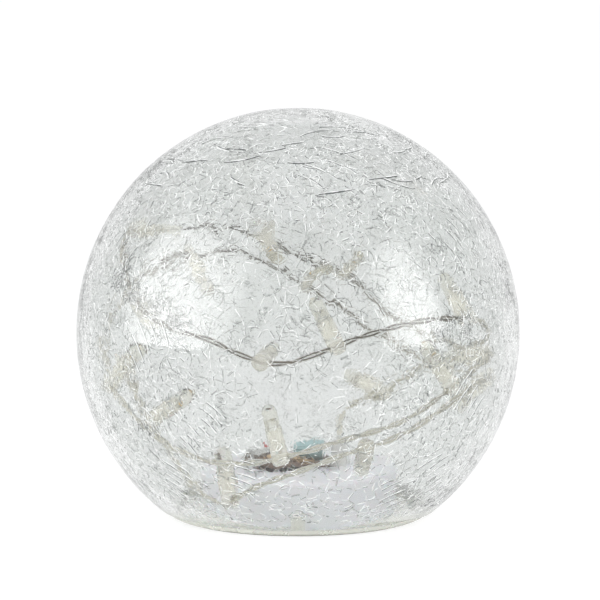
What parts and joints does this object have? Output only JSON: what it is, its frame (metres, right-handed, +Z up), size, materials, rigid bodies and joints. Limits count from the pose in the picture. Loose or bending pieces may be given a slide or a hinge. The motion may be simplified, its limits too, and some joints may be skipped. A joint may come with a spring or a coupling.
{
  "type": "led ball light",
  "caption": "Crackle glass globe light standing on a clear collar, with a battery drum and a loose coil of LED string inside, a hinged battery door and a slide switch below.",
  "frame": {"origin": "on the surface that the light stands on, below the middle of the globe", "axes": "+Z up along the globe's axis; -Y is the side that the picture shows; the door's hinge runs along X at +Y"},
  "size_m": [0.15, 0.15, 0.1388],
  "materials": {
    "crackle_glass": "crackled inside the wall, polished outside",
    "seal_silicone": "clear silicone, slightly yellow",
    "clear_collar": "clear moulding with a faint yellow-green tint",
    "foot_silicone": "translucent silicone",
    "milky_moulding": "milky white moulding, fine satin grain",
    "gasket_rubber": "soft closed-cell rubber",
    "cell_jacket": "plain jacket over a steel can",
    "nickel": "nickel plated",
    "board_laminate": "brown paper laminate with tinned tracks",
    "chip_resin": "black moulded resin",
    "capacitor_sleeve": "teal shrink sleeve",
    "resistor_lacquer": "tan lacquer with plain bands",
    "screw_steel": "zinc plated",
    "switch_case": "tinned steel shell",
    "knob_plastic": "black, ribbed",
    "red_insulation": "PVC insulation",
    "black_insulation": "PVC insulation",
    "white_insulation": "PVC insulation",
    "string_insulation": "clear PVC over fine copper, two strands twisted",
    "clamp_plastic": "translucent moulding",
    "sleeve_plastic": "clear moulding, slightly yellowed",
    "lamp_resin": "clear resin over a warm white chip"
  },
  "bodies": {
    "lamp": {"glass_globe": "crackle_glass", "rim_seal": "seal_silicone", "collar_ring": "clear_collar", "foot_ring": "foot_silicone", "battery_tray": "milky_moulding", "door_gasket": "gasket_rubber", "battery_cell_1": "cell_jacket", "battery_cell_2": "cell_jacket", "battery_cell_3": "cell_jacket", "positive_contact": "nickel", "back_bridge_contact": "nickel", "front_bridge_contact": "nickel", "negative_contact": "nickel", "contact_spring_1": "nickel", "contact_spring_2": "nickel", "contact_spring_3": "nickel", "drum_cover": "milky_moulding", "circuit_board": "board_laminate", "timer_chip": "chip_resin", "smoothing_capacitor": "capacitor_sleeve", "quartz_crystal": "nickel", "resistors": "resistor_lacquer", "collar_screws": "screw_steel", "cover_screws": "screw_steel", "board_screws": "screw_steel", "slide_switch": "switch_case", "red_lead": "red_insulation", "black_lead": "black_insulation", "white_lead": "white_insulation", "led_string": "string_insulation", "string_clamp": "clamp_plastic", "led_bulbs": "lamp_resin", "string_end_cap": "sleeve_plastic", "led_sleeve_01": "sleeve_plastic", "led_sleeve_02": "sleeve_plastic", "led_sleeve_03": "sleeve_plastic", "led_sleeve_04": "sleeve_plastic", "led_sleeve_05": "sleeve_plastic", "led_sleeve_06": "sleeve_plastic", "led_sleeve_07": "sleeve_plastic", "led_sleeve_08": "sleeve_plastic", "led_sleeve_09": "sleeve_plastic", "led_sleeve_10": "sleeve_plastic", "led_sleeve_11": "sleeve_plastic", "led_sleeve_12": "sleeve_plastic", "led_sleeve_13": "sleeve_plastic", "led_sleeve_14": "sleeve_plastic", "led_sleeve_15": "sleeve_plastic", "led_sleeve_16": "sleeve_plastic", "led_sleeve_17": "sleeve_plastic", "led_sleeve_18": "sleeve_plastic"},
    "battery_door": {"battery_door": "milky_moulding"},
    "switch_knob": {"switch_knob": "knob_plastic"}
  },
  "joints": [
    {"name": "door_hinge", "type": "hinge", "parent": "lamp", "child": "battery_door", "pos_m": [0, 0.026, 0.0012], "axis": [1, 0, 0], "range_deg": [0, 85]},
    {"name": "knob_slide", "type": "slide", "parent": "lamp", "child": "switch_knob", "axis": [0, 1, 0], "range_m": [0, 0.004]}
  ]
}
